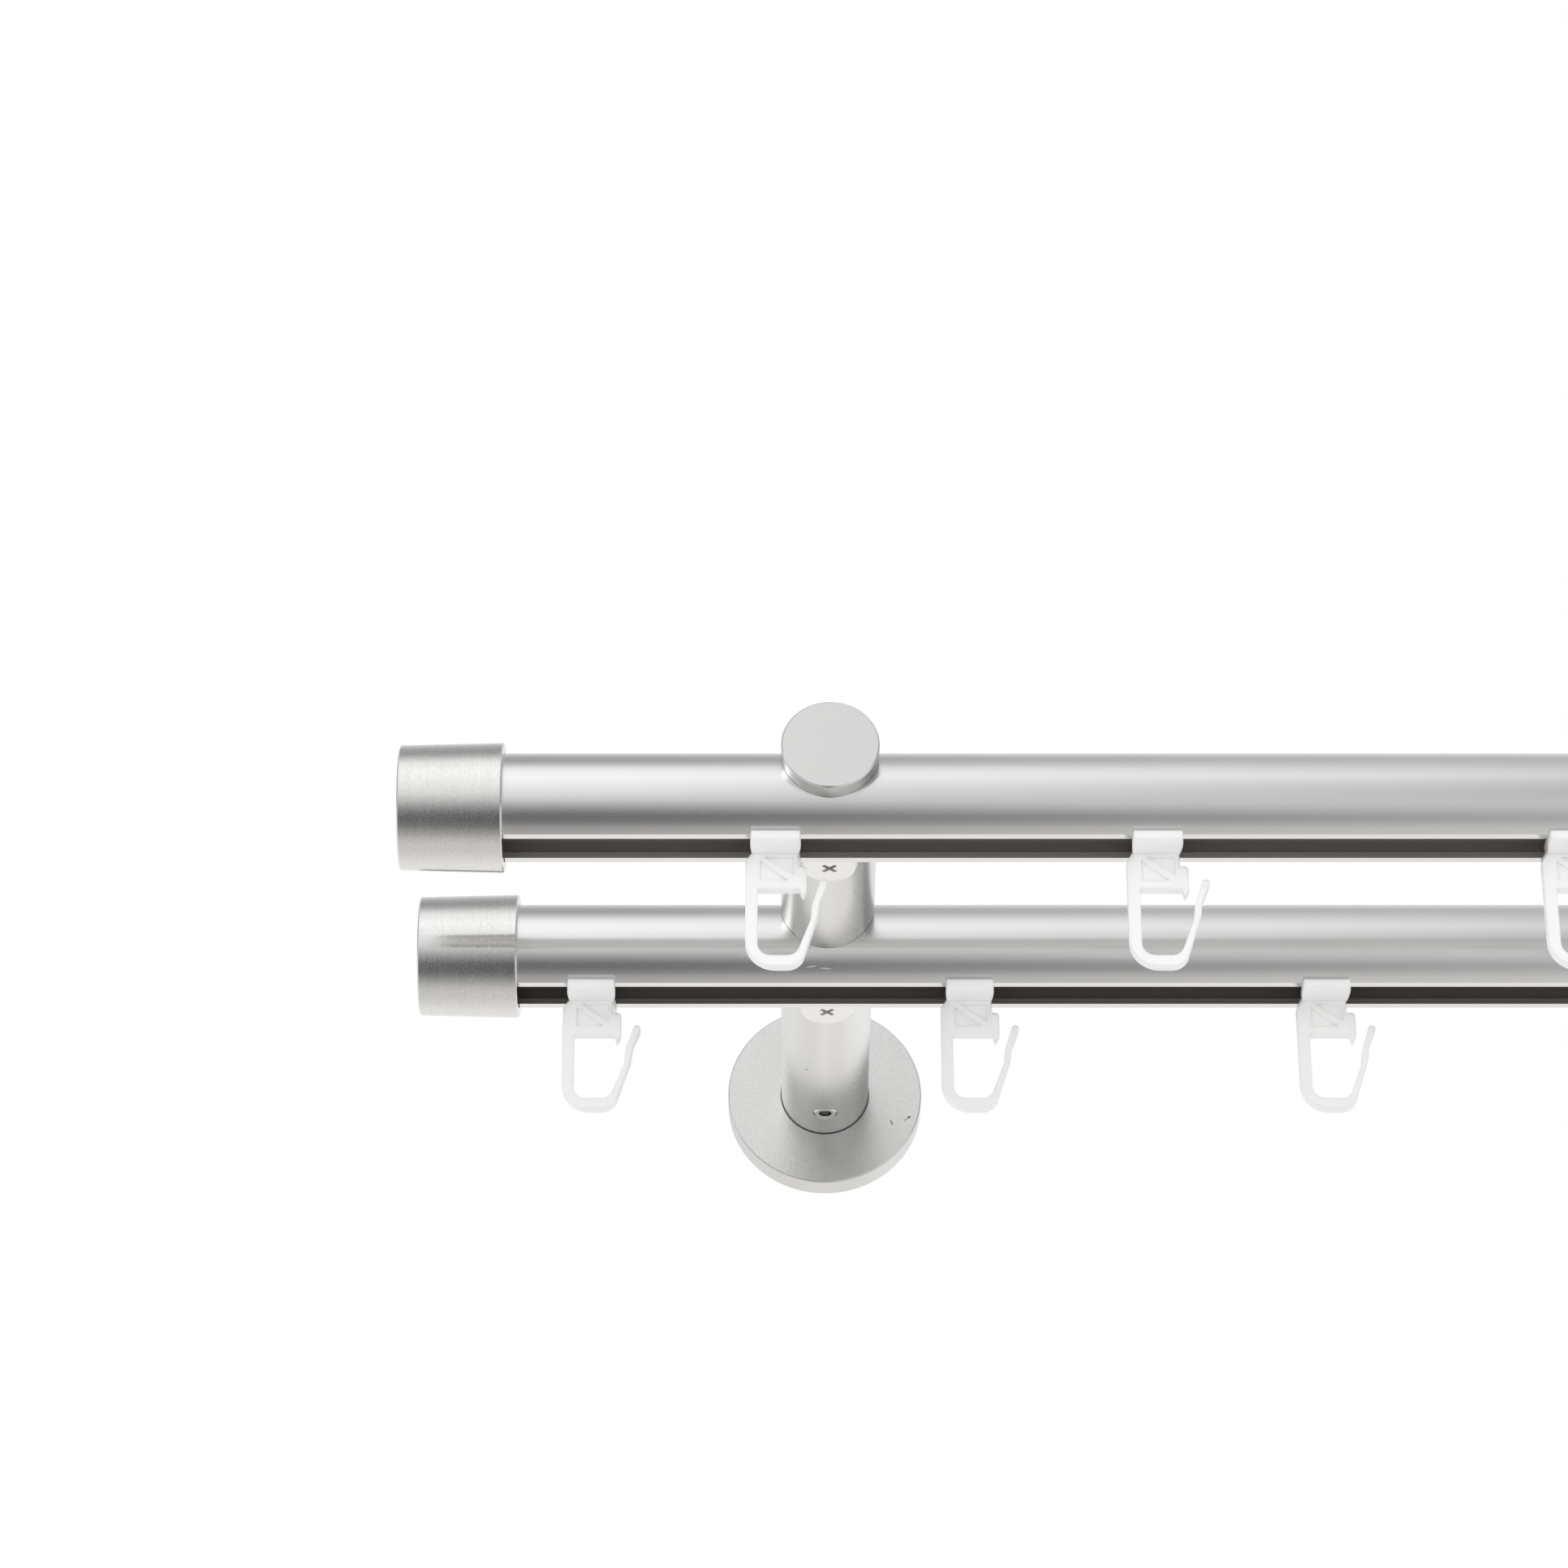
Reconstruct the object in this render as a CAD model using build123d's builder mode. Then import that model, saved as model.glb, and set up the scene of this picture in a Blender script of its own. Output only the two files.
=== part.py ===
from build123d import *
import os

# Double curtain pole: two slotted poles on wall brackets, with end caps and plastic hook gliders.
# Frame: X along the poles, +Y into the wall, Z up. The origin lies on the wall, midway between the
# two brackets, at the height of their arms. All sizes are in millimetres.

# Poles
pole_length = 800.0
pole_diameter = 20.0
pole_wall = 1.2
rear_pole_distance = 80.0
front_pole_distance = 140.0
pole_drop = 5.9

# Glider track along the underside of each pole
track_slot_width = 7.4
track_flat_drop = 8.45
track_lip = 1.2
track_width = 10.4
track_height = 2.6
track_web = 1.2

# Brackets
bracket_inset = 77.0
arm_diameter = 18.0
arm_overhang = 13.4
arm_edge_break = 0.3
arm_to_rosette = 0.1
seat_clearance = 0.1
seat_play = 0.5

# Screws that lock the poles in the arms
clamp_head_diameter = 10.3
clamp_head_height = 2.2
clamp_head_edge = 0.3
clamp_head_gap = 0.15
clamp_pocket_depth = 0.8
clamp_pocket_clearance = 0.2
clamp_shank_diameter = 4.0
clamp_shank_length = 10.0
clamp_cross_span = 3.4
clamp_cross_width = 0.8
clamp_cross_depth = 1.6
clamp_cross_taper = 8.0
clamp_cross_turn = 45.0
thread_clearance = 0.08
thread_end_room = 1.0

# Wall plate with its spigot, the rosette over it, and the screw that locks the arm on the spigot
plate_rim_clearance = 0.3
plate_thickness = 3.0
spigot_diameter = 9.0
spigot_length = 18.0
spigot_edge = 0.6
spigot_groove_depth = 0.4
spigot_groove_width = 5.2
spigot_clearance = 0.1
spigot_end_room = 2.0
wall_hole_diameter = 4.5
wall_hole_spacing = 22.0
wall_hole_countersink = 8.5
countersink_angle = 90
rosette_diameter = 40.0
rosette_depth = 5.6
rosette_wall = 1.2
rosette_edge = 0.25
rosette_hole_clearance = 0.2
grub_diameter = 4.8
grub_distance = 14.8
grub_sunk = 0.2
grub_edge = 0.3
grub_tip_gap = 0.05
grub_hex = 2.5
grub_hex_depth = 2.4

# End caps
cap_mouth_diameter = 23.9
cap_end_diameter = 23.0
cap_length = 19.1
cap_end_wall = 1.8
cap_clearance = 0.05
cap_floor_gap = 0.1
cap_edge = 0.25

# Gliders: a foot in the track, a waisted collar under the pole, a pocketed body and the hook
glider_count = 10
front_first_gliders = (67.0, 136.6, 212.4)
front_end_room = 69.6
rear_first_gliders = (31.45, 104.3, 172.9)
rear_end_room = 109.1
glide_clearance = 0.1
foot_length = 8.0
foot_height = 1.6
foot_side_clearance = 0.4
neck_length = 5.0
neck_side_clearance = 0.4
collar_depth = 14.2
collar_thickness = 1.6
collar_length = 8.8
collar_bulge = 9.2
collar_bulge_offset = 4.2
collar_waist = 8.1
collar_edge = 0.5
hook_thickness = 2.2
pocket_depth = 0.45
latch_corner = 0.8

# Outlines of a glider below its collar, as (X from its middle, Z from the collar's underside)
body_outline = [(-4.5, 0.0), (-5.5, -1.6), (-5.5, -7.1), (4.4, -7.1), (5.0, -8.6), (5.7, -7.3)]
body_outline += [(5.7, -2.6), (4.0, -2.6), (4.0, 0.0)]
upper_pocket = [(-1.9, -0.7), (3.3, -0.7), (3.3, -4.3)]
lower_pocket = [(-2.8, -1.4), (-2.8, -5.4), (2.2, -5.4)]
hook_outside = [(-5.5, -6.0), (-5.5, -22.85), (4.5, -22.85), (7.75, -12.45), (8.0, -9.85), (9.45, -6.2)]
hook_outside_radii = [5.5, 3.3, 3.0, 3.0]
hook_inside = [(-3.25, -6.0), (-3.25, -20.75), (3.7, -20.75), (6.45, -13.35), (6.65, -10.45), (8.05, -6.0)]
hook_inside_radii = [2.4, 2.2, 3.0, 4.0]
hook_tip = (8.95, -5.35)

# Places that follow from the sizes above
pole_radius = pole_diameter / 2
arm_radius = arm_diameter / 2
spigot_radius = spigot_diameter / 2
groove_radius = spigot_radius - spigot_groove_depth
plate_radius = rosette_diameter / 2 - rosette_wall - plate_rim_clearance
pole_end = pole_length / 2
bracket_place = pole_end - bracket_inset
pole_height = -pole_drop
track_flat = pole_height - track_flat_drop
arm_start = rosette_depth + arm_to_rosette
arm_end = front_pole_distance + arm_overhang
seat_radius = pole_radius + seat_clearance
clamp_seat = -(arm_radius - clamp_pocket_depth)
clamp_behind_pole = pole_radius + clamp_head_gap + clamp_head_diameter / 2
collar_top = track_flat - glide_clearance
collar_bottom = collar_top - collar_thickness
foot_bottom = track_flat + track_lip + glide_clearance


def across_poles(x, y, z):
    """A plane across the poles: its x points into the wall and its y points up."""
    return Plane(origin=(x, y, z), x_dir=(0, 1, 0), z_dir=(1, 0, 0))


def facing_room(x, distance, z=0):
    """A plane parallel to the wall, at a distance from it: its x runs along the poles."""
    return Plane(origin=(x, -distance, z), x_dir=(1, 0, 0), z_dir=(0, -1, 0))


def facing_down(x, distance, z):
    """A level plane whose normal points down."""
    return Plane(origin=(x, -distance, z), x_dir=(1, 0, 0), z_dir=(0, 0, -1))


def save(piece, name):
    """Label a finished piece and write it to its own file."""
    piece.label = name
    export_step(piece, f"parts/{name}.step")


def make_pole(distance):
    """A drawn tube with a flat underside, a hollow above and the glider track below its web."""
    hollow_radius = pole_radius - pole_wall
    hollow_floor = -track_flat_drop + track_lip + track_height + track_web
    hollow_half = (hollow_radius**2 - hollow_floor**2) ** 0.5
    with BuildPart() as pole:
        with BuildSketch(across_poles(-pole_end, -distance, pole_height)):
            Circle(pole_radius)
            with Locations((0, -track_flat_drop)):
                Rectangle(pole_diameter, pole_radius, align=(Align.CENTER, Align.MAX), mode=Mode.SUBTRACT)
                Rectangle(track_slot_width, track_lip, align=(Align.CENTER, Align.MIN), mode=Mode.SUBTRACT)
            with Locations((0, -track_flat_drop + track_lip)):
                Rectangle(track_width, track_height, align=(Align.CENTER, Align.MIN), mode=Mode.SUBTRACT)
            with BuildLine():
                floor = Line((-hollow_half, hollow_floor), (hollow_half, hollow_floor))
                ThreePointArc(floor @ 1, (0, hollow_radius), floor @ 0)
            make_face(mode=Mode.SUBTRACT)
        extrude(amount=pole_length)
    return pole.part


def make_cap(side, distance):
    """A turned cup, slightly tapered to its closed end, pushed over a pole's end."""
    bore = pole_radius + cap_clearance
    floor = cap_length - cap_end_wall
    mouth = side * (pole_end + cap_floor_gap - floor)
    start = (mouth, -distance, pole_height)
    with BuildPart() as cap:
        with BuildSketch(Plane(origin=start, x_dir=(side, 0, 0), z_dir=(0, -side, 0))):
            with BuildLine():
                Polyline(
                    (0, bore),
                    (0, cap_mouth_diameter / 2),
                    (cap_length, cap_end_diameter / 2),
                    (cap_length, 0),
                    (floor, 0),
                    (floor, bore),
                    close=True,
                )
            make_face()
        revolve(axis=Axis(start, (side, 0, 0)))
        rims = cap.edges().filter_by(GeomType.CIRCLE).sort_by(SortBy.RADIUS)[-2:]
        chamfer(rims, cap_edge)
    return cap.part


def make_arm(x):
    """A solid bar with a seat for each pole, open from below, and the holes for its screws."""
    with BuildPart() as arm:
        with BuildSketch(facing_room(x, arm_start)):
            Circle(arm_radius)
        extrude(amount=arm_end - arm_start)
        chamfer(arm.faces().sort_by(Axis.Y)[0].edges(), arm_edge_break)

        with BuildSketch(facing_room(x, arm_start)):
            Circle(spigot_radius + spigot_clearance)
        extrude(amount=plate_thickness + spigot_length + spigot_end_room - arm_start, mode=Mode.SUBTRACT)
        with Locations(facing_down(x, grub_distance, -arm_radius)):
            Hole(grub_diameter / 2 + thread_clearance, depth=arm_radius)

        for distance in (rear_pole_distance, front_pole_distance):
            with BuildSketch(across_poles(x, -distance, pole_height)):
                # The seat is as round as the pole, with play toward the wall so the pole can be
                # lifted in from below and then pulled forward over the lip
                with Locations((seat_play / 2, 0)):
                    SlotCenterToCenter(seat_play, 2 * seat_radius)
                Rectangle(seat_radius + seat_play, arm_radius, align=(Align.MIN, Align.MAX))
            extrude(amount=arm_radius, both=True, mode=Mode.SUBTRACT)
            with Locations(facing_down(x, distance - clamp_behind_pole, -arm_radius)):
                CounterBoreHole(
                    radius=clamp_shank_diameter / 2 + thread_clearance,
                    counter_bore_radius=clamp_head_diameter / 2 + clamp_pocket_clearance,
                    counter_bore_depth=clamp_pocket_depth,
                    depth=clamp_pocket_depth + clamp_shank_length + thread_end_room,
                )
    return arm.part


def make_clamp_screw(x, distance):
    """A flat round head with a cross recess, whose rim traps the pole against the arm's lip."""
    with BuildPart() as screw:
        with BuildSketch(facing_down(x, distance, clamp_seat)):
            Circle(clamp_head_diameter / 2)
        extrude(amount=clamp_head_height)
        chamfer(screw.faces().sort_by(Axis.Z)[0].edges(), clamp_head_edge)
        with BuildSketch(facing_down(x, distance, clamp_seat)):
            Circle(clamp_shank_diameter / 2)
        extrude(amount=-clamp_shank_length)
        with BuildSketch(facing_down(x, distance, clamp_seat - clamp_head_height)):
            Rectangle(clamp_cross_span, clamp_cross_width, rotation=clamp_cross_turn)
            Rectangle(clamp_cross_width, clamp_cross_span, rotation=clamp_cross_turn)
        extrude(amount=-clamp_cross_depth, taper=clamp_cross_taper, mode=Mode.SUBTRACT)
    return screw.part


def make_grub_screw(x):
    """A headless screw with a hex socket, sunk in the arm and pressed into the spigot's groove."""
    outer = -(arm_radius - grub_sunk)
    length = arm_radius - grub_sunk - groove_radius - grub_tip_gap
    with BuildPart() as grub:
        with BuildSketch(facing_down(x, grub_distance, outer)):
            Circle(grub_diameter / 2)
        extrude(amount=-length)
        chamfer(grub.edges().filter_by(GeomType.CIRCLE), grub_edge)
        with BuildSketch(facing_down(x, grub_distance, outer)):
            RegularPolygon(grub_hex / 2, 6, major_radius=False)
        extrude(amount=-grub_hex_depth, mode=Mode.SUBTRACT)
    return grub.part


def make_rosette(x):
    """A shallow turned shell that hides the wall plate."""
    with BuildPart() as rosette:
        with BuildSketch(facing_room(x, 0)):
            Circle(rosette_diameter / 2)
        extrude(amount=rosette_depth)
        chamfer(rosette.faces().sort_by(Axis.Y)[0].edges(), rosette_edge)
        offset(amount=-rosette_wall, openings=rosette.faces().sort_by(Axis.Y)[-1])
        with Locations(facing_room(x, rosette_depth)):
            Hole(spigot_radius + rosette_hole_clearance, depth=rosette_depth)
    return rosette.part


def make_wall_plate(x):
    """A turned plate, screwed to the wall through two countersunk holes, with a grooved spigot."""
    with BuildPart() as plate:
        with BuildSketch(facing_room(x, 0)):
            Circle(plate_radius)
        extrude(amount=plate_thickness)
        with BuildSketch(facing_room(x, plate_thickness)):
            Circle(spigot_radius)
        extrude(amount=spigot_length)
        chamfer(plate.faces().sort_by(Axis.Y)[0].edges(), spigot_edge)
        with BuildSketch(facing_room(x, grub_distance - spigot_groove_width / 2)):
            Circle(spigot_radius)
            Circle(groove_radius, mode=Mode.SUBTRACT)
        extrude(amount=spigot_groove_width, mode=Mode.SUBTRACT)
        for z in (-wall_hole_spacing / 2, wall_hole_spacing / 2):
            with Locations(facing_room(x, plate_thickness, z)):
                CounterSinkHole(
                    radius=wall_hole_diameter / 2,
                    counter_sink_radius=wall_hole_countersink / 2,
                    counter_sink_angle=countersink_angle,
                    depth=plate_thickness,
                )
    return plate.part


def make_glider(x, distance):
    """A glider moulded in one piece: foot, neck, collar, pocketed body and an open hook."""
    with BuildPart() as glider:
        with BuildSketch(Plane(origin=(x, -distance, collar_bottom))):
            with BuildLine():
                corner = (collar_length / 2, collar_depth / 2)
                ThreePointArc(corner, (collar_bulge / 2, collar_bulge_offset), (collar_waist / 2, 0))
                Line((0, collar_depth / 2), corner)
                mirror(about=Plane.XZ)
                mirror(about=Plane.YZ)
            make_face()
        extrude(amount=collar_thickness)
        fillet(glider.faces().sort_by(Axis.Z)[0].edges().filter_by(Axis.X), collar_edge)

        with BuildSketch(Plane(origin=(x, -distance, collar_top))):
            Rectangle(neck_length, track_slot_width - 2 * neck_side_clearance)
        extrude(amount=foot_bottom - collar_top)
        with BuildSketch(Plane(origin=(x, -distance, foot_bottom))):
            Rectangle(foot_length, track_width - 2 * foot_side_clearance)
        extrude(amount=foot_height)

        with BuildSketch(facing_room(x, distance, collar_bottom)) as profile:
            with BuildLine():
                Polyline(*body_outline, close=True)
            make_face()
            fillet(profile.vertices().group_by(Axis.X)[-1].sort_by(Axis.Y)[-1], latch_corner)
            with BuildLine():
                outside = FilletPolyline(*hook_outside, radius=hook_outside_radii)
                inside = FilletPolyline(*hook_inside, radius=hook_inside_radii)
                ThreePointArc(outside @ 1, hook_tip, inside @ 1)
                Line(outside @ 0, inside @ 0)
            make_face()
        extrude(amount=hook_thickness / 2, both=True)
        for depth in (pocket_depth, -pocket_depth):
            face = distance + hook_thickness / 2 * (1 if depth > 0 else -1)
            with BuildSketch(facing_room(x, face, collar_bottom)):
                Polygon(*upper_pocket, align=None)
                Polygon(*lower_pocket, align=None)
            extrude(amount=-depth, mode=Mode.SUBTRACT)
    return glider.part


def glider_places(first, end_room):
    """Places along X: the first few as they were pushed, the others evenly up to the far end."""
    rest = glider_count - len(first)
    pitch = (pole_length - end_room - first[-1]) / rest
    places = list(first) + [first[-1] + pitch * (k + 1) for k in range(rest)]
    return [place - pole_end for place in places]


os.makedirs("parts", exist_ok=True)

rails = {
    "front": (front_pole_distance, front_first_gliders, front_end_room),
    "rear": (rear_pole_distance, rear_first_gliders, rear_end_room),
}
for rail, (distance, first, end_room) in rails.items():
    save(make_pole(distance), f"{rail}_pole")
    save(make_cap(-1, distance), f"{rail}_cap_left")
    save(make_cap(1, distance), f"{rail}_cap_right")
    for number, place in enumerate(glider_places(first, end_room), start=1):
        save(make_glider(place, distance), f"{rail}_glider_{number:02d}")

for side, x in {"left": -bracket_place, "right": bracket_place}.items():
    save(make_arm(x), f"{side}_arm")
    save(make_rosette(x), f"{side}_rosette")
    save(make_wall_plate(x), f"{side}_wall_plate")
    save(make_grub_screw(x), f"{side}_grub_screw")
    for rail, (distance, first, end_room) in rails.items():
        save(make_clamp_screw(x, distance - clamp_behind_pole), f"{side}_{rail}_clamp_screw")
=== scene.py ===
import bmesh
import bpy
import math
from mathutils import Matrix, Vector

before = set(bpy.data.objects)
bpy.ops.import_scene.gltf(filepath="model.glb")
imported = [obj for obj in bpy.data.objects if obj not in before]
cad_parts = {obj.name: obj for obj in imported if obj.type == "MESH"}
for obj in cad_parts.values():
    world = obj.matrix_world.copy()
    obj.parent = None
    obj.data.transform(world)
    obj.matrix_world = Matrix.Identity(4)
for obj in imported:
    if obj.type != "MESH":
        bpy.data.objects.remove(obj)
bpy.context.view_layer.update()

# The double curtain pole hangs on the wall plane Y = 0, with X along the poles and Z up, in metres.
MM = 0.001
RAILS = ("front", "rear")
SIDES = ("left", "right")
GLIDERS = range(1, 11)
POLE_HEIGHT = -5.9 * MM
POLE_DISTANCE = {"front": 140 * MM, "rear": 80 * MM}
TRACK_FLOOR = -8.4 * MM
TRACK_TOP = -4.5 * MM
TRACK_HALF_WIDTH = 5.3 * MM
BRACKET_PLACE = 323 * MM

# Studio light in the metal: at each way along X, from left to right, the levels by the angle above level
# as seen toward the room (90 is straight up, -90 straight down, 180 the wall)
LIGHT_BY_SIDE = [
    (-0.3, [(-180, 1.0), (-120, 0.9), (-70, 0.65), (-30, 0.7), (0, 0.9), (40, 1.0), (64, 0.85), (95, 0.55),
            (125, 0.75), (180, 1.0)]),
    (-0.07, [(-180, 1.0), (-150, 1.05), (-118, 0.86), (-96, 0.74), (-82, 0.5), (-66, 0.2), (-48, 0.06),
             (-34, 0.17), (-20, 0.48), (-6, 0.82), (8, 1.0), (24, 1.13), (40, 1.2), (52, 1.13), (64, 0.98),
             (80, 0.53), (98, 0.42), (125, 0.72), (155, 1.0), (180, 1.0)]),
    (0.11, [(-180, 1.0), (-150, 1.0), (-118, 0.9), (-95, 0.9), (-70, 0.7), (-50, 0.45), (-38, 0.6),
            (-22, 0.8), (0, 0.78), (20, 0.86), (32, 0.98), (42, 1.1), (52, 1.04), (64, 0.93), (98, 0.62),
            (125, 0.78), (155, 0.95), (180, 1.0)]),
    (0.28, [(-180, 1.0), (-120, 0.95), (-80, 1.0), (-40, 0.95), (-10, 0.62), (15, 0.42), (50, 0.5),
            (95, 0.6), (130, 0.85), (180, 1.0)]),
]

# Gain of that light by the way along X, on the room's side and on the wall's side
LIGHT_FROM_ROOM = [
    (-1.0, 1.0), (-0.75, 1.0), (-0.4, 1.0), (-0.25, 1.05), (-0.08, 1.1), (0.0, 1.0), (0.1, 0.95),
    (0.2, 0.85), (0.35, 0.75), (0.55, 0.8), (1.0, 0.95),
]
LIGHT_FROM_WALL = [(-1.0, 1.0), (-0.7, 1.0), (-0.5, 0.98), (-0.3, 0.95), (0.0, 1.0), (0.3, 1.0),
                   (0.45, 1.1), (0.6, 1.0), (1.0, 0.9)]

# A colour ramp holds levels up to 1 only, so each level is divided by this and multiplied again
BRIGHTEST = 2.5
WARM_TINT = (1.0, 0.985, 0.96, 1.0)
KEY_PLACE = (-1.25, -1.4, 0.95)
KEY_AIM = (-0.33, -0.07, 0.0)
KEY_SIZE = 0.9
KEY_POWER = 2.5
FLOOR_HEIGHT = -0.6
FLOOR_HALF_WIDTH = 4.0
FLOOR_DEEP = (0.84, 0.84, 0.83, 1.0)
FLOOR_PALE = (0.88, 0.88, 0.875, 1.0)

CAMERA_PLACE = (-331.45 * MM, -959.2 * MM, -454.6 * MM)
CAMERA_TILT = 28.98
CAMERA_LENS = 116.67

# Directions of the fine lines, as lines per metre along X, Y and Z
ALONG_X = (20.0, 5000.0, 5000.0)
AROUND_X = (3500.0, 50.0, 50.0)
AROUND_Y = (50.0, 3500.0, 50.0)
RADIAL = "radial"

# Colours of the metals and the plastic
POLE_SATIN = (0.745, 0.742, 0.737)
CAP_SATIN = (0.695, 0.69, 0.68)
ARM_SATIN = (0.745, 0.741, 0.734)
ARM_END = (0.75, 0.748, 0.742)
ROSETTE_SATIN = (0.685, 0.681, 0.673)
PLATE_ZINC = (0.6, 0.6, 0.59)
HEAD_NICKEL = (0.86, 0.855, 0.845)
GRUB_NICKEL = (0.92, 0.92, 0.91)
PLASTIC_DEEP = (0.95, 0.95, 0.947, 1.0)
PLASTIC_PALE = (0.975, 0.975, 0.97, 1.0)
WHITE = (1.0, 1.0, 1.0, 1.0)

# Finish shared by all the metals: how far the roughness strays, how much rougher a masked place is, how
# strongly the lighter edges (partly wear, partly painted highlight) and clouding show, and the spans of
# noise that are stretched over the variation
ROUGHNESS_STRAY = 0.03
MASK_ROUGHNESS = 0.3
END_FACE_SHARE = 0.5
WORN_AND_HIGHLIT_SHARE = 0.4
CLOUD_SHARE = 0.05
# Lighter colour of the outer edges: partly wear, partly a painted highlight of their glint
WORN_AND_HIGHLIT_EDGE = (0.95, 0.95, 0.94, 1.0)
NOISE_SPAN = (0.3, 0.7)
TONE_SPAN = (0.35, 0.65)
MOULDED_EDGE = 0.35 * MM

# Painted shade: the dark line painted round each arm where it enters its rosette, standing in for the
# shadow in the joint, from its inside to its outside radius
SEAM_SHADE_COLOUR = (0.1, 0.096, 0.09, 1.0)
SEAM_SHADE_INSIDE = 9.05 * MM
SEAM_SHADE_OUTSIDE = 9.3 * MM

# Painted shade inside each track: its colour painted darker than the pole's, the rear darker than the
# front, in place of the shade in the recess, and how metallic it is there
TRACK_SHADES = {"front": (0.27, 0.247, 0.229), "rear": (0.172, 0.156, 0.146)}
BORE_METALLIC = 0.2

# Small marks near the left bracket: each with its middle, half size, turn and colour
DARK_MARK = (0.12, 0.11, 0.1)
PALE_MARK = (0.95, 0.95, 0.94)
ARM_MARKS = [
    ((-326.9 * MM, -34.2 * MM, -8.1 * MM), (0.35 * MM, 0.2 * MM, 1.0 * MM), (0, 0, 0.6), DARK_MARK),
]
ROSETTE_MARKS = [
    ((-309.2 * MM, -5.6 * MM, -6.5 * MM), (0.15 * MM, 1.0 * MM, 0.9 * MM), (0, 0.35, 0), DARK_MARK),
    ((-305.6 * MM, -5.6 * MM, -5.3 * MM), (0.5 * MM, 1.0 * MM, 0.25 * MM), (0, 0.5, 0), DARK_MARK),
    ((-306.3 * MM, -5.6 * MM, -5.9 * MM), (0.3 * MM, 1.0 * MM, 0.15 * MM), (0, 0.7, 0), DARK_MARK),
]
POLE_MARKS = {
    "front": [],
    "rear": [
        ((-326.2 * MM, -87.8 * MM, -12.1 * MM), (1.3 * MM, 1.0 * MM, 0.1 * MM), (0, 0.12, 0), PALE_MARK),
        ((-323.4 * MM, -87.8 * MM, -12.4 * MM), (1.5 * MM, 1.0 * MM, 0.1 * MM), (0, -0.06, 0), PALE_MARK),
    ],
}


# Node helpers

def add(tree, kind, inputs=None, **settings):
    """Add a node, set its properties, then its input values or links."""
    made = tree.nodes.new(kind)
    for key, value in settings.items():
        setattr(made, key, value)
    for key, value in (inputs or {}).items():
        if isinstance(value, bpy.types.NodeSocket):
            tree.links.new(value, made.inputs[key])
        else:
            made.inputs[key].default_value = value
    return made


def maths(tree, operation, first, second=0.0, clamp=False):
    """One Math node; its result socket."""
    made = add(tree, "ShaderNodeMath", {0: first, 1: second}, operation=operation, use_clamp=clamp)
    return made.outputs[0]


def remap(tree, value, low, high, new_low=0.0, new_high=1.0, smooth=False):
    """Stretch a value from one range to another, clamped."""
    made = add(
        tree,
        "ShaderNodeMapRange",
        {"Value": value, "From Min": low, "From Max": high, "To Min": new_low, "To Max": new_high},
        interpolation_type="SMOOTHSTEP" if smooth else "LINEAR",
    )
    return made.outputs["Result"]


def blend_colours(tree, factor, first, second, mode="MIX"):
    """Mix two colours by a factor; the result socket."""
    mix = add(tree, "ShaderNodeMix", {0: factor, 6: first, 7: second}, data_type="RGBA", blend_type=mode)
    return mix.outputs[2]


def blend_values(tree, factor, first, second):
    """Mix two values by a factor; the result socket."""
    return add(tree, "ShaderNodeMix", {0: factor, 2: first, 3: second}, data_type="FLOAT").outputs[0]


def new_group(name, inputs, outputs):
    """A shader node group with named inputs (name, socket type, value) and outputs (name, type)."""
    tree = bpy.data.node_groups.new(name, "ShaderNodeTree")
    for label, kind, value in inputs:
        socket = tree.interface.new_socket(label, in_out="INPUT", socket_type=kind)
        if value is not None:
            socket.default_value = value
    for label, kind in outputs:
        tree.interface.new_socket(label, in_out="OUTPUT", socket_type=kind)
    return tree, add(tree, "NodeGroupInput").outputs, add(tree, "NodeGroupOutput").inputs


def use_group(tree, group, inputs):
    """Place a node group in a tree with its own values."""
    return add(tree, "ShaderNodeGroup", inputs, node_tree=group).outputs


FLOAT = "NodeSocketFloat"
VECTOR = "NodeSocketVector"


# Shared surface effects

def make_blasted_grain():
    """Fine even speckle of a bead-blasted or satin-plated surface, with faint clouding."""
    tree, given, out = new_group(
        "blasted grain",
        [("Place", VECTOR, None), ("Grains per metre", FLOAT, 4000.0), ("Cloud size", FLOAT, 0.02)],
        [("Grain", FLOAT), ("Cloud", FLOAT)],
    )
    fine = add(
        tree,
        "ShaderNodeTexNoise",
        {"Vector": given["Place"], "Scale": given["Grains per metre"], "Detail": 2.0, "Roughness": 0.65},
    )
    per_cloud = maths(tree, "DIVIDE", 1.0, given["Cloud size"])
    cloud = add(
        tree,
        "ShaderNodeTexNoise",
        {"Vector": given["Place"], "Scale": per_cloud, "Detail": 3.0, "Roughness": 0.5},
    )
    tree.links.new(fine.outputs["Fac"], out["Grain"])
    tree.links.new(cloud.outputs["Fac"], out["Cloud"])
    return tree


def make_drawn_lines():
    """Faint lines left by drawing or turning: noise stretched along one direction."""
    tree, given, out = new_group(
        "drawn lines",
        [("Place", VECTOR, None), ("Lines per metre", VECTOR, (40.0, 5000.0, 5000.0))],
        [("Lines", FLOAT)],
    )
    stretched = add(
        tree, "ShaderNodeVectorMath", {0: given["Place"], 1: given["Lines per metre"]}, operation="MULTIPLY"
    )
    lines = add(
        tree,
        "ShaderNodeTexNoise",
        {"Vector": stretched.outputs[0], "Scale": 1.0, "Detail": 3.0, "Roughness": 0.6},
    )
    tree.links.new(lines.outputs["Fac"], out["Lines"])
    return tree


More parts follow.
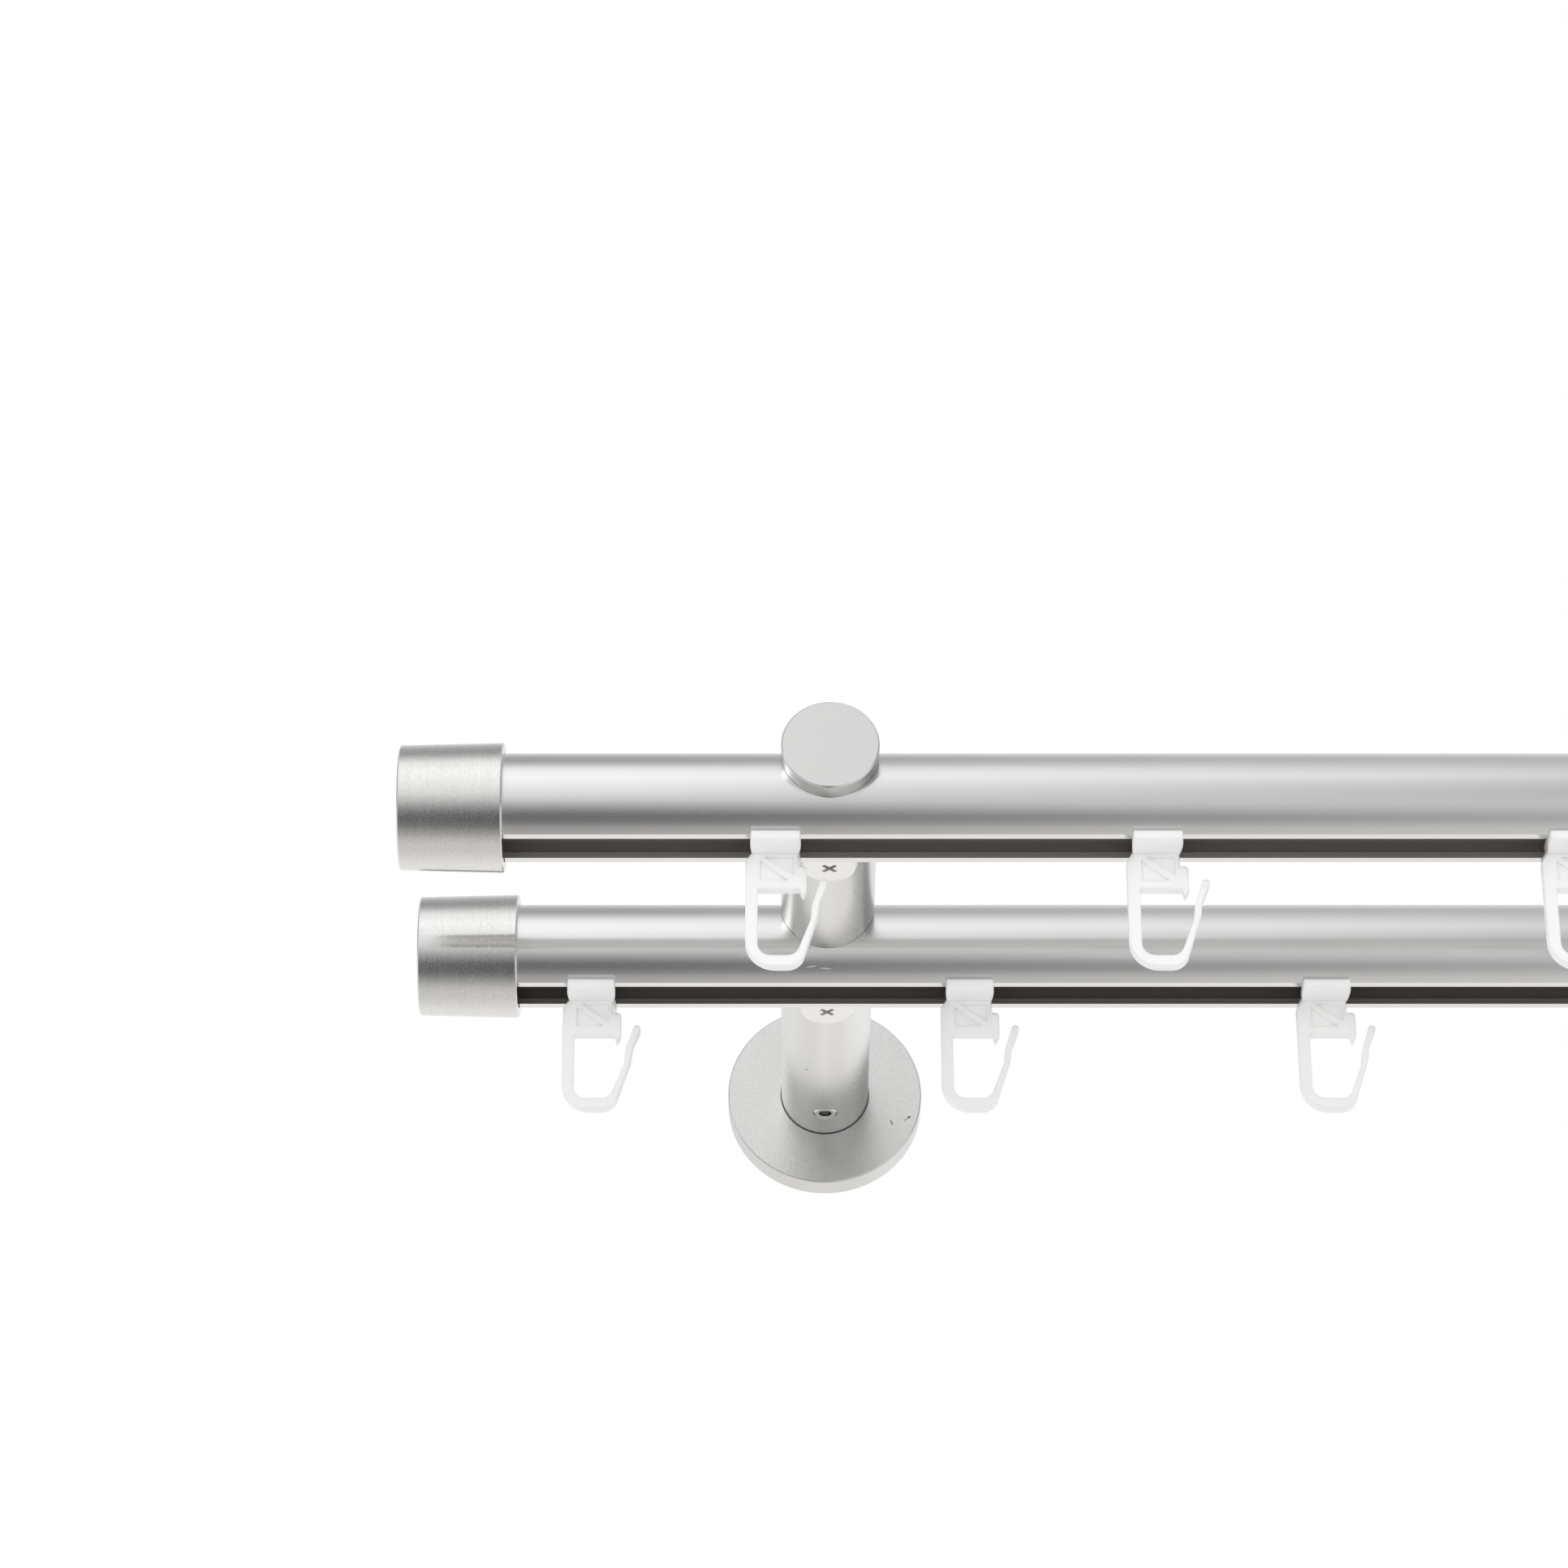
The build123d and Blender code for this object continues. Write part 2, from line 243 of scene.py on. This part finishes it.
def make_radial_lines():
    """Faint lines that run outward on a rosette's face, from noise over the angle around its middle."""
    tree, given, out = new_group(
        "radial lines",
        [("Place", VECTOR, None), ("Lines per turn", FLOAT, 480.0), ("Breaks per metre", FLOAT, 400.0)],
        [("Lines", FLOAT), ("Radius", FLOAT)],
    )
    place = add(tree, "ShaderNodeSeparateXYZ", {0: given["Place"]}).outputs
    across = maths(tree, "SUBTRACT", maths(tree, "ABSOLUTE", place["X"]), BRACKET_PLACE)
    turn = maths(tree, "DIVIDE", maths(tree, "ARCTAN2", place["Z"], across), 2 * math.pi)
    across_squared = maths(tree, "POWER", across, 2.0)
    up_squared = maths(tree, "POWER", place["Z"], 2.0)
    radius = maths(tree, "SQRT", maths(tree, "ADD", across_squared, up_squared))
    around = maths(tree, "MULTIPLY", turn, given["Lines per turn"])
    outward = maths(tree, "MULTIPLY", radius, given["Breaks per metre"])
    spread = add(tree, "ShaderNodeCombineXYZ", {"X": around, "Y": outward})
    lines = add(
        tree,
        "ShaderNodeTexNoise",
        {"Vector": spread.outputs[0], "Scale": 1.0, "Detail": 2.0, "Roughness": 0.6},
    )
    tree.links.new(lines.outputs["Fac"], out["Lines"])
    tree.links.new(radius, out["Radius"])
    return tree


def make_edge_wear_and_highlight():
    """A mask of the outer edges, painted lighter: partly where handling has polished the metal, partly a
    painted highlight.
    """
    tree, given, out = new_group(
        "edge wear and highlight", [("Width", FLOAT, 0.0003), ("Gain", FLOAT, 2.5)], [("Edge", FLOAT)]
    )
    rounded = add(tree, "ShaderNodeBevel", {"Radius": given["Width"]}, samples=6)
    flat = add(tree, "ShaderNodeNewGeometry")
    alike = add(
        tree,
        "ShaderNodeVectorMath",
        {0: rounded.outputs["Normal"], 1: flat.outputs["Normal"]},
        operation="DOT_PRODUCT",
    )
    turned = maths(tree, "SUBTRACT", 1.0, alike.outputs["Value"])
    tree.links.new(maths(tree, "MULTIPLY", turned, given["Gain"], clamp=True), out["Edge"])
    return tree


def make_scratch():
    """A mask of one short mark: a soft-edged oblong at a place, turned in the plane of the surface."""
    tree, given, out = new_group(
        "scratch",
        [
            ("Place", VECTOR, None),
            ("Middle", VECTOR, (0.0, 0.0, 0.0)),
            ("Half size", VECTOR, (0.001, 0.001, 0.001)),
            ("Turn", VECTOR, (0.0, 0.0, 0.0)),
        ],
        [("Mark", FLOAT)],
    )
    offset = add(
        tree, "ShaderNodeVectorMath", {0: given["Place"], 1: given["Middle"]}, operation="SUBTRACT"
    )
    turned = add(
        tree,
        "ShaderNodeVectorRotate",
        {"Vector": offset.outputs[0], "Rotation": given["Turn"]},
        rotation_type="EULER_XYZ",
    )
    scaled = add(
        tree, "ShaderNodeVectorMath", {0: turned.outputs[0], 1: given["Half size"]}, operation="DIVIDE"
    )
    far = add(tree, "ShaderNodeVectorMath", {0: scaled.outputs[0]}, operation="LENGTH")
    tree.links.new(remap(tree, far.outputs["Value"], 1.0, 0.5, smooth=True), out["Mark"])
    return tree


def make_track_mask():
    """A mask of the glider track inside a pole, from the place across the pole."""
    tree, given, out = new_group(
        "track inside", [("Place", VECTOR, None), ("Distance", FLOAT, 0.14)], [("Inside", FLOAT)]
    )
    place = add(tree, "ShaderNodeSeparateXYZ", {0: given["Place"]}).outputs
    off_centre = maths(tree, "ABSOLUTE", maths(tree, "ADD", place["Y"], given["Distance"]))
    between = maths(tree, "LESS_THAN", off_centre, TRACK_HALF_WIDTH)
    above = maths(tree, "GREATER_THAN", place["Z"], POLE_HEIGHT + TRACK_FLOOR)
    below = maths(tree, "LESS_THAN", place["Z"], POLE_HEIGHT + TRACK_TOP)
    upright = maths(tree, "MULTIPLY", above, below)
    tree.links.new(maths(tree, "MULTIPLY", between, upright), out["Inside"])
    return tree


BLASTED_GRAIN = make_blasted_grain()
DRAWN_LINES = make_drawn_lines()
RADIAL_LINES = make_radial_lines()
EDGE_WEAR_AND_HIGHLIGHT = make_edge_wear_and_highlight()
SCRATCH = make_scratch()
TRACK_MASK = make_track_mask()


# Materials

def new_material(name):
    """An empty material with its shader and output; its tree, shader and the place on the object."""
    made = bpy.data.materials.new(name)
    made.use_nodes = True
    tree = made.node_tree
    tree.nodes.clear()
    shader = add(tree, "ShaderNodeBsdfPrincipled")
    output = add(tree, "ShaderNodeOutputMaterial")
    tree.links.new(shader.outputs[0], output.inputs["Surface"])
    place = add(tree, "ShaderNodeTexCoord").outputs["Object"]
    return made, tree, shader, place


def satin_metal(name, colour, roughness, depth, contrast, grains=4000.0, lines=ALONG_X, line_share=0.3,
                marks=(), track=None, end_face=None):
    """Satin metal with fine grain, faint lines and edges painted lighter (partly wear, partly painted
    highlight), and the marks, painted shade round an arm's joint, track inside painted darker as painted
    shade, or end it has.
    """
    made, tree, shader, place = new_material(name)
    grain = use_group(tree, BLASTED_GRAIN, {"Place": place, "Grains per metre": grains})
    if lines == RADIAL:
        outward = use_group(tree, RADIAL_LINES, {"Place": place})
        drawn = outward["Lines"]
    else:
        drawn = use_group(tree, DRAWN_LINES, {"Place": place, "Lines per metre": lines})["Lines"]
    edge_wear_and_highlight = use_group(tree, EDGE_WEAR_AND_HIGHLIGHT, {})["Edge"]
    height = blend_values(tree, line_share, grain["Grain"], drawn)

    pale = tuple(min(1.0, c * (1 + contrast)) for c in colour) + (1.0,)
    deep = tuple(c * (1 - contrast) for c in colour) + (1.0,)
    toned = blend_colours(tree, remap(tree, height, *TONE_SPAN), deep, pale)
    clouded = blend_colours(tree, remap(tree, grain["Cloud"], *NOISE_SPAN, 0.0, CLOUD_SHARE), toned, WHITE)
    # Edges painted lighter: partly wear, partly painted highlight
    base = blend_colours(tree, maths(tree, "MULTIPLY", edge_wear_and_highlight, WORN_AND_HIGHLIT_SHARE), clouded, WORN_AND_HIGHLIT_EDGE)
    rough = remap(tree, height, *NOISE_SPAN, roughness - ROUGHNESS_STRAY, roughness + ROUGHNESS_STRAY)

    # Painted shade: a dark ring painted round the arm's joint with the rosette, in place of the shadow
    # there
    if lines == RADIAL:
        seam_shade = remap(tree, outward["Radius"], SEAM_SHADE_OUTSIDE, SEAM_SHADE_INSIDE, smooth=True)
        base = blend_colours(tree, seam_shade, base, SEAM_SHADE_COLOUR)
        rough = roughen(tree, rough, seam_shade)
    if end_face:
        facing = add(tree, "ShaderNodeNewGeometry").outputs["Normal"]
        facing_y = add(tree, "ShaderNodeSeparateXYZ", {0: facing}).outputs["Y"]
        to_room = remap(tree, facing_y, -0.8, -0.95)
        base = blend_colours(tree, to_room, base, end_face + (1.0,))
        rough = roughen(tree, rough, maths(tree, "MULTIPLY", to_room, END_FACE_SHARE))
    for middle, half_size, turn, mark_colour in marks:
        values = {"Place": place, "Middle": middle, "Half size": half_size, "Turn": turn}
        mark = use_group(tree, SCRATCH, values)["Mark"]
        base = blend_colours(tree, mark, base, mark_colour + (1.0,))
        rough = roughen(tree, rough, mark)
    # Painted shade: the inside of the track painted darker and less metallic
    if track:
        distance, track_shade_colour = track
        inside = use_group(tree, TRACK_MASK, {"Place": place, "Distance": distance})["Inside"]
        base = blend_colours(tree, inside, base, track_shade_colour + (1.0,))
        rough = roughen(tree, rough, inside)
        tree.links.new(remap(tree, inside, 0.0, 1.0, 1.0, BORE_METALLIC), shader.inputs["Metallic"])
    else:
        shader.inputs["Metallic"].default_value = 1.0
    tree.links.new(base, shader.inputs["Base Color"])
    tree.links.new(rough, shader.inputs["Roughness"])

    bump = add(tree, "ShaderNodeBump", {"Height": height, "Distance": depth})
    tree.links.new(bump.outputs["Normal"], shader.inputs["Normal"])
    return made


def roughen(tree, rough, mask):
    """Roughen the surface inside a mask."""
    return maths(tree, "ADD", rough, maths(tree, "MULTIPLY", mask, MASK_ROUGHNESS), clamp=True)


def white_plastic():
    """Slightly translucent moulded plastic with a soft sheen, soft edges and a faint moulded texture."""
    made, tree, shader, place = new_material("white plastic")
    texture = {"Place": place, "Grains per metre": 2500.0, "Cloud size": 6 * MM}
    grain = use_group(tree, BLASTED_GRAIN, texture)
    base = blend_colours(tree, remap(tree, grain["Cloud"], *NOISE_SPAN), PLASTIC_DEEP, PLASTIC_PALE)
    tree.links.new(base, shader.inputs["Base Color"])
    tree.links.new(remap(tree, grain["Grain"], *NOISE_SPAN, 0.42, 0.52), shader.inputs["Roughness"])
    shader.inputs["IOR"].default_value = 1.49
    shader.inputs["Subsurface Weight"].default_value = 0.8
    shader.inputs["Subsurface Radius"].default_value = (1.0, 0.95, 0.9)
    shader.inputs["Subsurface Scale"].default_value = 0.0015
    rounded = add(tree, "ShaderNodeBevel", {"Radius": MOULDED_EDGE}, samples=8)
    bump = add(
        tree,
        "ShaderNodeBump",
        {"Height": grain["Grain"], "Distance": 0.006 * MM, "Normal": rounded.outputs["Normal"]},
    )
    tree.links.new(bump.outputs["Normal"], shader.inputs["Normal"])
    return made


# The looks of each piece

def dress(node, material):
    """Give a CAD piece its material."""
    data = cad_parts[node].data
    data.materials.clear()
    data.materials.append(material)


def dress_poles():
    """Drawn satin tubes, each with the inside of its track painted darker as painted shade."""
    for rail, track_shade in TRACK_SHADES.items():
        look = satin_metal(
            f"{rail} pole satin", POLE_SATIN, roughness=0.2, depth=0.003 * MM, contrast=0.015,
            lines=ALONG_X, marks=POLE_MARKS[rail], track=(POLE_DISTANCE[rail], track_shade),
        )
        dress(f"{rail}_pole", look)


def dress_caps():
    """Turned and bead-blasted caps."""
    look = satin_metal(
        "cap satin", CAP_SATIN, roughness=0.16, depth=0.009 * MM, contrast=0.1,
        grains=3000.0, lines=AROUND_X, line_share=0.25,
    )
    for rail in RAILS:
        for side in SIDES:
            dress(f"{rail}_cap_{side}", look)


def dress_brackets():
    """Smooth turned arms, brushed rosettes, plain zinc wall plates and bright screws."""
    arms = satin_metal(
        "arm satin", ARM_SATIN, roughness=0.27, depth=0.002 * MM, contrast=0.012,
        lines=AROUND_Y, marks=ARM_MARKS, end_face=ARM_END,
    )
    rosettes = satin_metal(
        "rosette satin", ROSETTE_SATIN, roughness=0.31, depth=0.04 * MM, contrast=0.08,
        grains=2800.0, lines=RADIAL, line_share=0.5, marks=ROSETTE_MARKS,
    )
    plates = satin_metal("wall plate zinc", PLATE_ZINC, roughness=0.4, depth=0.01 * MM, contrast=0.1)
    heads = satin_metal("clamp screw nickel", HEAD_NICKEL, roughness=0.3, depth=0.004 * MM, contrast=0.02)
    grubs = satin_metal("grub screw nickel", GRUB_NICKEL, roughness=0.14, depth=0.003 * MM, contrast=0.02)
    for side in SIDES:
        dress(f"{side}_arm", arms)
        dress(f"{side}_rosette", rosettes)
        dress(f"{side}_wall_plate", plates)
        dress(f"{side}_grub_screw", grubs)
        for rail in RAILS:
            dress(f"{side}_{rail}_clamp_screw", heads)


def dress_gliders():
    """Gliders in one moulded white plastic."""
    plastic = white_plastic()
    for rail in RAILS:
        for number in GLIDERS:
            dress(f"{rail}_glider_{number:02d}", plastic)


# Studio

def grey_curve(tree, value, low, high, stops):
    """A smooth curve of light levels over a value that runs from low to high; the result socket."""
    made = add(tree, "ShaderNodeValToRGB", {0: remap(tree, value, low, high)})
    ramp = made.color_ramp
    ramp.interpolation = "CARDINAL"
    ramp.elements.remove(ramp.elements[-1])
    for number, (at, level) in enumerate(stops):
        place = (at - low) / (high - low)
        grey = level / BRIGHTEST
        stop = ramp.elements.new(place) if number else ramp.elements[0]
        stop.position = place
        stop.color = (grey, grey, grey, 1.0)
    return maths(tree, "MULTIPLY", made.outputs["Color"], BRIGHTEST)


def make_world():
    """Plain white to the camera and on soft surfaces, and a studio's soft bands in the metal."""
    world = bpy.data.worlds.new("studio")
    bpy.context.scene.world = world
    world.use_nodes = True
    tree = world.node_tree
    tree.nodes.clear()
    direction = add(tree, "ShaderNodeTexCoord").outputs["Generated"]
    way = add(tree, "ShaderNodeSeparateXYZ", {0: direction}).outputs
    height = maths(tree, "ARCTAN2", way["Z"], maths(tree, "MULTIPLY", way["Y"], -1.0))
    degrees = maths(tree, "DEGREES", height)
    last, stops = LIGHT_BY_SIDE[0]
    level = grey_curve(tree, degrees, -180, 180, stops)
    for at, stops in LIGHT_BY_SIDE[1:]:
        beside = grey_curve(tree, degrees, -180, 180, stops)
        level = blend_colours(tree, remap(tree, way["X"], last, at, smooth=True), level, beside)
        last = at
    tinted = blend_colours(tree, 1.0, level, warm_below(tree, degrees), mode="MULTIPLY")
    from_room = grey_curve(tree, way["X"], -1, 1, LIGHT_FROM_ROOM)
    from_wall = grey_curve(tree, way["X"], -1, 1, LIGHT_FROM_WALL)
    sideways = blend_colours(tree, remap(tree, way["Y"], -0.3, 0.3), from_room, from_wall)
    bands = add(tree, "ShaderNodeBackground", {"Color": tinted, "Strength": sideways}).outputs[0]
    white = add(tree, "ShaderNodeBackground", {"Color": WHITE, "Strength": 1.0}).outputs[0]
    in_metal = add(tree, "ShaderNodeLightPath").outputs["Is Glossy Ray"]
    mixed = add(tree, "ShaderNodeMixShader", {0: in_metal, 1: white, 2: bands})
    tree.links.new(mixed.outputs[0], add(tree, "ShaderNodeOutputWorld").inputs["Surface"])


def warm_below(tree, degrees):
    """A faint warm tint of the light that comes up from the floor and the wall."""
    below = remap(tree, degrees, -40, -90, smooth=True)
    return blend_colours(tree, below, WHITE, WARM_TINT)


def make_key_lamp():
    """A softbox above on the left."""
    data = bpy.data.lights.new("key softbox", "AREA")
    data.shape = "SQUARE"
    data.size = KEY_SIZE
    data.energy = KEY_POWER
    lamp = bpy.data.objects.new("key softbox", data)
    lamp.location = KEY_PLACE
    lamp.rotation_euler = (Vector(KEY_PLACE) - Vector(KEY_AIM)).to_track_quat("Z", "Y").to_euler()
    bpy.context.scene.collection.objects.link(lamp)


def make_floor():
    """A pale floor far below the rail, seen from above only and left out of the metal's reflections."""
    mesh = bpy.data.meshes.new("floor")
    work = bmesh.new()
    bmesh.ops.create_grid(work, x_segments=1, y_segments=1, size=FLOOR_HALF_WIDTH)
    work.to_mesh(mesh)
    work.free()
    floor = bpy.data.objects.new("floor", mesh)
    floor.location = (0.0, 0.0, FLOOR_HEIGHT)
    floor.visible_glossy = False
    bpy.context.scene.collection.objects.link(floor)

    made, tree, shader, place = new_material("pale floor")
    grain = use_group(tree, BLASTED_GRAIN, {"Place": place, "Grains per metre": 40.0, "Cloud size": 0.8})
    tone = blend_colours(tree, grain["Cloud"], FLOOR_DEEP, FLOOR_PALE)
    tree.links.new(tone, shader.inputs["Base Color"])
    shader.inputs["Roughness"].default_value = 0.8
    surface = shader.outputs[0].links[0].to_socket
    from_below = add(tree, "ShaderNodeNewGeometry").outputs["Backfacing"]
    clear = add(tree, "ShaderNodeBsdfTransparent").outputs[0]
    both = add(tree, "ShaderNodeMixShader", {0: from_below, 1: shader.outputs[0], 2: clear})
    tree.links.new(both.outputs[0], surface)
    mesh.materials.append(made)


def make_camera():
    """The photograph's view: from below and just left of the left bracket, looking up at the wall."""
    data = bpy.data.cameras.new("camera")
    data.sensor_width = 36.0
    data.lens = CAMERA_LENS
    data.clip_start = 0.05
    data.clip_end = 50.0
    camera = bpy.data.objects.new("camera", data)
    camera.location = CAMERA_PLACE
    camera.rotation_euler = (math.radians(90 + CAMERA_TILT), 0.0, 0.0)
    bpy.context.scene.collection.objects.link(camera)
    bpy.context.scene.camera = camera


make_camera()
make_world()
make_key_lamp()
make_floor()
dress_poles()
dress_caps()
dress_brackets()
dress_gliders()

bpy.context.scene.view_settings.view_transform = "Standard"
